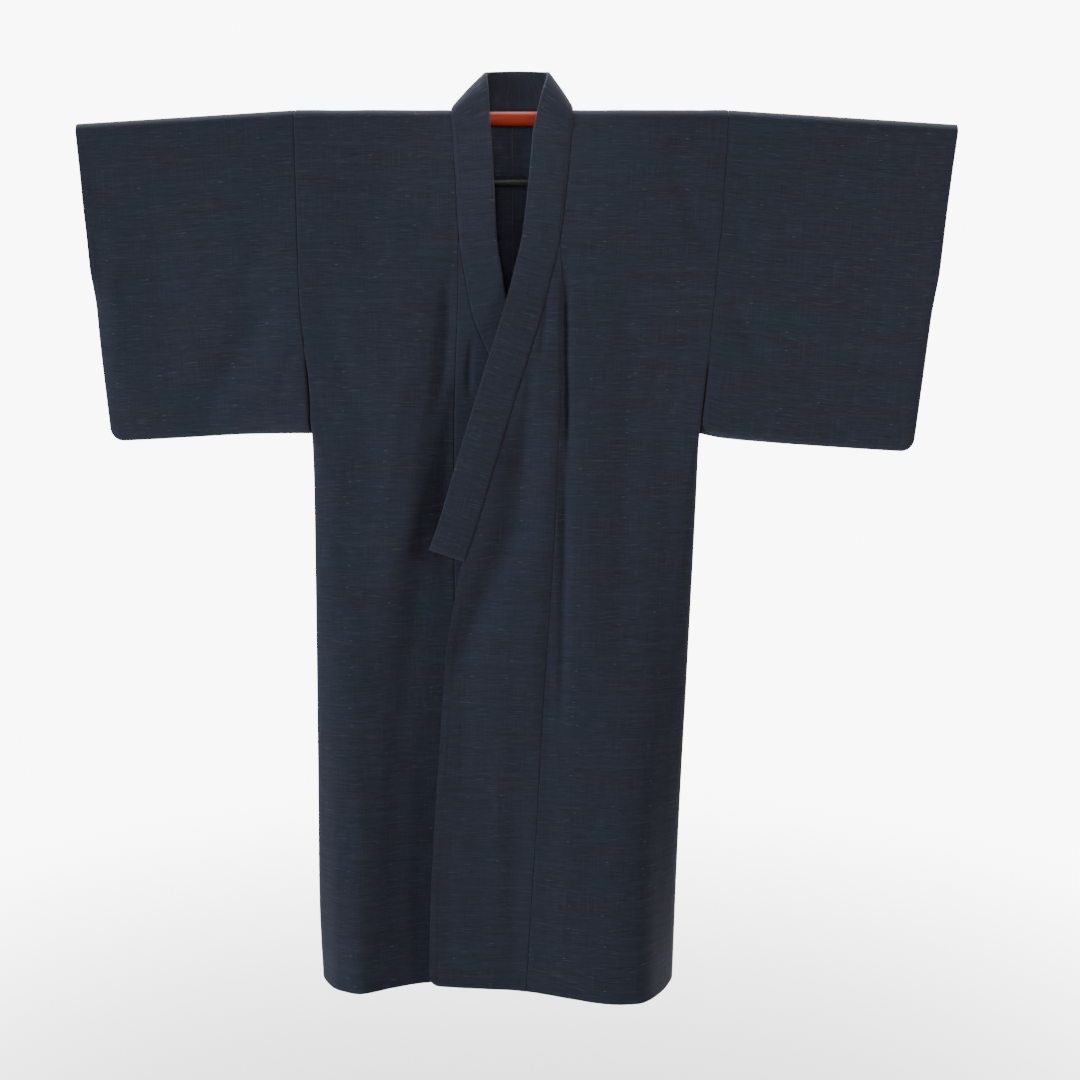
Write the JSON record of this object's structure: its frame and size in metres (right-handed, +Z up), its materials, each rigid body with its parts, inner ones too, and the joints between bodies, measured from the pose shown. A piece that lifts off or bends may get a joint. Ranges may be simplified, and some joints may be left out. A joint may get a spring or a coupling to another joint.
{
  "type": "kimono robe on a hanging rod",
  "caption": "Full-length dark slub-weave kimono with square sleeves, overlapping fronts and a banded collar, hung from the shoulders on a plain round rod.",
  "frame": {"origin": "middle of the hanger's top rod, midway between the shoulders", "axes": "+X along the rod towards the wearer's left sleeve, -Y out of the garment's front, +Z up"},
  "size_m": [1.3467, 0.13, 1.4568],
  "materials": {
    "kimono_cloth": "matt slub-weave cotton, very dark indigo",
    "collar_cloth": "matt slub-weave cotton, very dark indigo, slubs running across the band",
    "rod_paint": "satin vermilion paint",
    "dark_bar": "satin black paint"
  },
  "bodies": {
    "root": {"hanger_rod": "rod_paint", "hanger_arm_left": "rod_paint", "hanger_arm_right": "rod_paint", "hanger_bar": "dark_bar", "hanger_link_left": "dark_bar", "hanger_link_right": "dark_bar", "right_body": "kimono_cloth", "right_overlap": "kimono_cloth", "right_sleeve": "kimono_cloth", "left_body": "kimono_cloth", "left_overlap": "kimono_cloth", "left_sleeve": "kimono_cloth", "collar": "collar_cloth", "collar_cover": "collar_cloth"}
  },
  "joints": []
}
